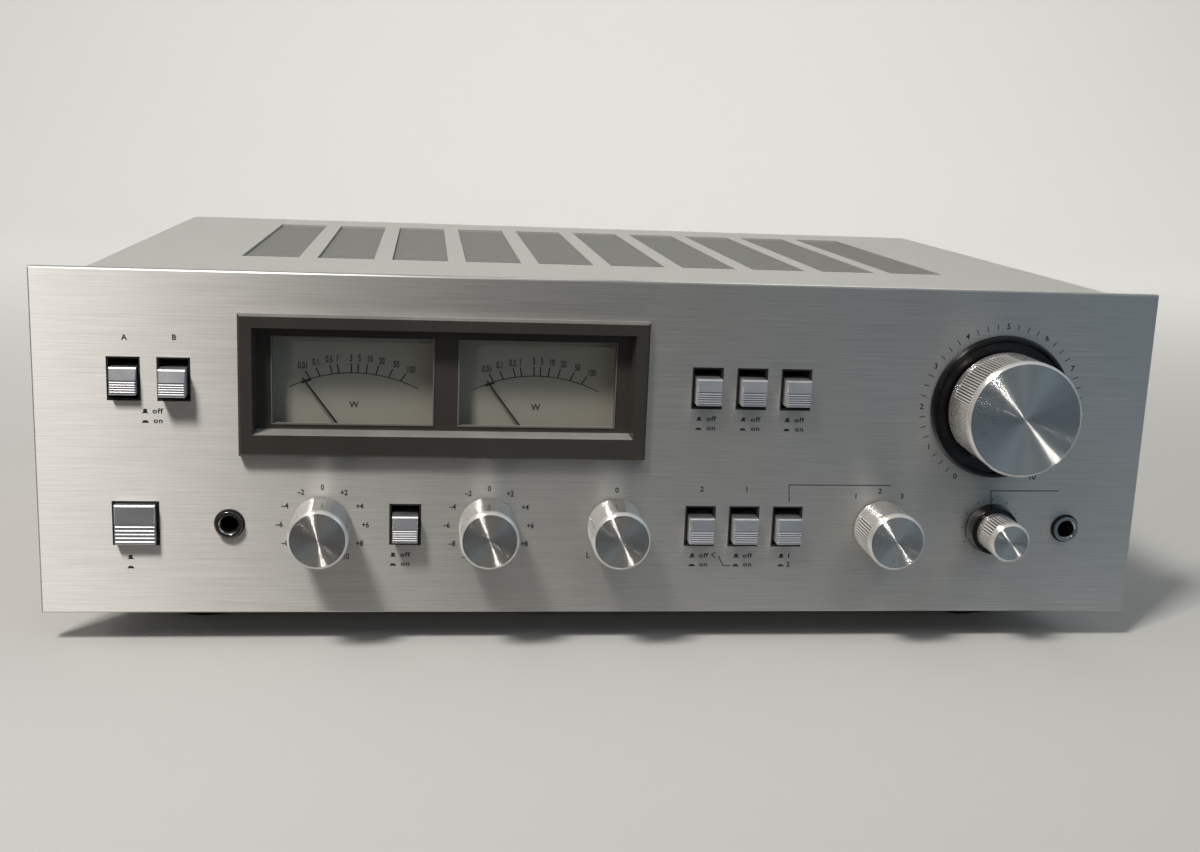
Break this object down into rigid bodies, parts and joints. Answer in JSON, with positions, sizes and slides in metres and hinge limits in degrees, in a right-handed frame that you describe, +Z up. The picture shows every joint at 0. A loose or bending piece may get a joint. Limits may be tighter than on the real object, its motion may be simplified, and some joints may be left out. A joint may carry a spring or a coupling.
{
  "type": "stereo amplifier",
  "caption": "Hi-fi stereo amplifier with a brushed metal front, twin needle power meters, push buttons, turning tone and volume knobs, plug sockets and a vented cover.",
  "frame": {"origin": "middle of the overall footprint, on the surface that the feet stand on", "axes": "+X to the right along the front panel, seen from the front; +Y from the front to the back; +Z up"},
  "size_m": [0.425, 0.295, 0.1415],
  "materials": {
    "brushed_panel": "brushed along its width",
    "turned_aluminium": "spun face, satin sides",
    "silver_plastic": "satin metallic paint",
    "cover_paint": "fine satin paint",
    "grille_paint": "matt paint",
    "plated_steel": "passivated",
    "dark_steel": "matt black paint",
    "bezel_plastic": "satin dark brown",
    "black_plastic": "matt",
    "gloss_black": "gloss",
    "clear_plastic": "clear",
    "dial_paint": "matt",
    "lamp_plastic": "translucent",
    "black_rubber": "matt",
    "bright_metal": "polished",
    "phenolic": "matt",
    "pot_steel": "plain",
    "core_steel": "varnished",
    "capacitor_sleeve": "shrunk sleeve",
    "black_anodised": "black anodised",
    "board_laminate": "green laminate",
    "brass": "plain"
  },
  "bodies": {
    "chassis": {"front_panel": "brushed_panel", "panel_posts": "plated_steel", "front_subchassis": "plated_steel", "chassis_base": "plated_steel", "rear_panel": "dark_steel", "side_plates": "cover_paint", "top_cover": "cover_paint", "vent_grille": "grille_paint", "cover_screws": "dark_steel", "feet": "black_rubber", "foot_screws": "plated_steel", "meter_bezel": "bezel_plastic", "meter_bodies": "black_plastic", "meter_covers": "clear_plastic", "dial_plates": "dial_paint", "meter_lamps": "lamp_plastic", "volume_ring": "gloss_black", "button_guides": "black_plastic", "push_switches": "phenolic", "power_switch": "black_plastic", "control_pots": "pot_steel", "selector_switch": "phenolic", "phones_jack": "black_plastic", "mic_jack": "black_plastic", "jack_nuts": "bright_metal", "power_transformer": "core_steel", "filter_capacitors": "capacitor_sleeve", "heatsink": "black_anodised", "power_transistors": "plated_steel", "amp_board": "board_laminate", "control_board": "board_laminate", "input_jacks": "bright_metal", "speaker_terminals": "black_plastic", "ground_post": "brass", "cord_gland": "black_rubber"},
    "speaker_a_button": {"speaker_a_button": "silver_plastic"},
    "speaker_b_button": {"speaker_b_button": "silver_plastic"},
    "power_button": {"power_button": "silver_plastic"},
    "tone_button": {"tone_button": "silver_plastic"},
    "subsonic_button": {"subsonic_button": "silver_plastic"},
    "high_cut_button": {"high_cut_button": "silver_plastic"},
    "loudness_button": {"loudness_button": "silver_plastic"},
    "tape_two_button": {"tape_two_button": "silver_plastic"},
    "tape_one_button": {"tape_one_button": "silver_plastic"},
    "phono_button": {"phono_button": "silver_plastic"},
    "volume_control": {"volume_knob": "turned_aluminium", "volume_shaft": "plated_steel"},
    "bass_control": {"bass_knob": "turned_aluminium", "bass_shaft": "plated_steel"},
    "treble_control": {"treble_knob": "turned_aluminium", "treble_shaft": "plated_steel"},
    "balance_control": {"balance_knob": "turned_aluminium", "balance_shaft": "plated_steel"},
    "selector_control": {"selector_knob": "turned_aluminium", "selector_shaft": "plated_steel"},
    "mic_control": {"mic_knob": "turned_aluminium", "mic_shaft": "plated_steel", "mic_skirt": "gloss_black"},
    "meter_needle_left": {"meter_needle_left": "black_plastic"},
    "meter_needle_right": {"meter_needle_right": "black_plastic"}
  },
  "joints": [
    {"name": "speaker_a_push", "type": "slide", "parent": "chassis", "child": "speaker_a_button", "axis": [0, 1, 0], "range_m": [-0.0032, 0]},
    {"name": "speaker_b_push", "type": "slide", "parent": "chassis", "child": "speaker_b_button", "axis": [0, 1, 0], "range_m": [0, 0.0032]},
    {"name": "power_push", "type": "slide", "parent": "chassis", "child": "power_button", "axis": [0, 1, 0], "range_m": [-0.0032, 0]},
    {"name": "tone_push", "type": "slide", "parent": "chassis", "child": "tone_button", "axis": [0, 1, 0], "range_m": [0, 0.0032]},
    {"name": "subsonic_push", "type": "slide", "parent": "chassis", "child": "subsonic_button", "axis": [0, 1, 0], "range_m": [0, 0.0032]},
    {"name": "high_cut_push", "type": "slide", "parent": "chassis", "child": "high_cut_button", "axis": [0, 1, 0], "range_m": [0, 0.0032]},
    {"name": "loudness_push", "type": "slide", "parent": "chassis", "child": "loudness_button", "axis": [0, 1, 0], "range_m": [0, 0.0032]},
    {"name": "tape_two_push", "type": "slide", "parent": "chassis", "child": "tape_two_button", "axis": [0, 1, 0], "range_m": [0, 0.0032]},
    {"name": "tape_one_push", "type": "slide", "parent": "chassis", "child": "tape_one_button", "axis": [0, 1, 0], "range_m": [0, 0.0032]},
    {"name": "phono_push", "type": "slide", "parent": "chassis", "child": "phono_button", "axis": [0, 1, 0], "range_m": [0, 0.0032]},
    {"name": "volume_turn", "type": "hinge", "parent": "chassis", "child": "volume_control", "pos_m": [0.1524, -0.123, 0.096], "axis": [0, 1, 0], "range_deg": [-8, 292]},
    {"name": "bass_turn", "type": "hinge", "parent": "chassis", "child": "bass_control", "pos_m": [-0.1097, -0.123, 0.047], "axis": [0, 1, 0], "range_deg": [-150, 150]},
    {"name": "treble_turn", "type": "hinge", "parent": "chassis", "child": "treble_control", "pos_m": [-0.0472, -0.123, 0.047], "axis": [0, 1, 0], "range_deg": [-150, 150]},
    {"name": "balance_turn", "type": "hinge", "parent": "chassis", "child": "balance_control", "pos_m": [0.0019, -0.123, 0.047], "axis": [0, 1, 0], "range_deg": [-150, 150]},
    {"name": "selector_turn", "type": "hinge", "parent": "chassis", "child": "selector_control", "pos_m": [0.1077, -0.123, 0.047], "axis": [0, 1, 0], "range_deg": [-80, 0]},
    {"name": "mic_turn", "type": "hinge", "parent": "chassis", "child": "mic_control", "pos_m": [0.1529, -0.123, 0.047], "axis": [0, 1, 0], "range_deg": [0, 284]},
    {"name": "left_needle_swing", "type": "hinge", "parent": "chassis", "child": "meter_needle_left", "pos_m": [-0.09825, -0.1143, 0.076], "axis": [0, 1, 0], "range_deg": [0, 72], "stiffness_Nm_per_rad": 0.00002},
    {"name": "right_needle_swing", "type": "hinge", "parent": "chassis", "child": "meter_needle_right", "pos_m": [-0.02935, -0.1143, 0.076], "axis": [0, 1, 0], "range_deg": [0, 72], "stiffness_Nm_per_rad": 0.00002}
  ]
}
